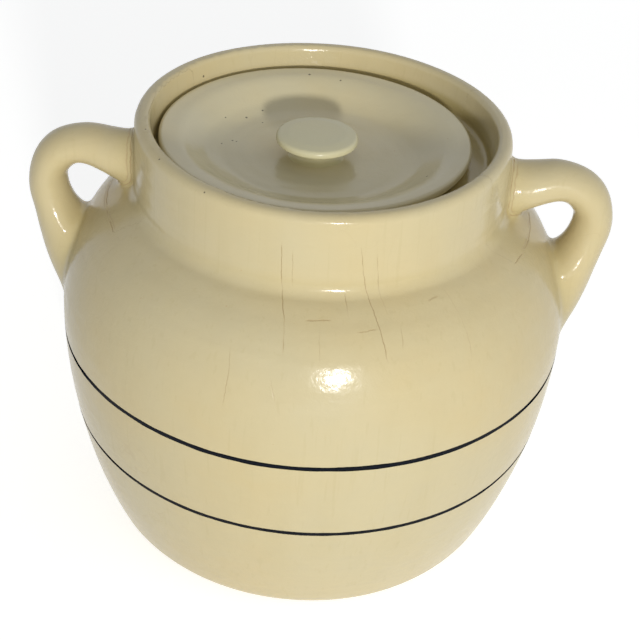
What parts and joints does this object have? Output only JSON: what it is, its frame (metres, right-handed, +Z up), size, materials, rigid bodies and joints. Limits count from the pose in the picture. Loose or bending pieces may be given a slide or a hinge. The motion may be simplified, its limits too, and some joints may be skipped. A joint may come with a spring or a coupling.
{
  "type": "stoneware bean pot",
  "caption": "Round-bellied glazed stoneware pot with a loop handle on each side and a dished lid that rests in its mouth and lifts off by a disc knob.",
  "frame": {"origin": "centre of the foot, on the surface that the pot stands on", "axes": "+X along the two handles, +Y to the back, +Z up"},
  "size_m": [0.2748, 0.242, 0.2164],
  "materials": {
    "pot_glaze": "glossy cream glaze, with two thin dark blue slip bands painted round the belly",
    "handle_glaze": "glossy cream glaze",
    "lid_glaze": "glossy cream glaze, slightly greyer than the pot",
    "knob_glaze": "glossy cream glaze, slightly greyer than the pot"
  },
  "bodies": {
    "pot": {"pot_body": "pot_glaze", "left_handle": "handle_glaze", "right_handle": "handle_glaze"},
    "lid": {"lid": "lid_glaze", "lid_knob": "knob_glaze"}
  },
  "joints": [
    {"name": "lid_lift", "type": "slide", "parent": "pot", "child": "lid", "axis": [0, 0, 1], "range_m": [0, 0.06]}
  ]
}
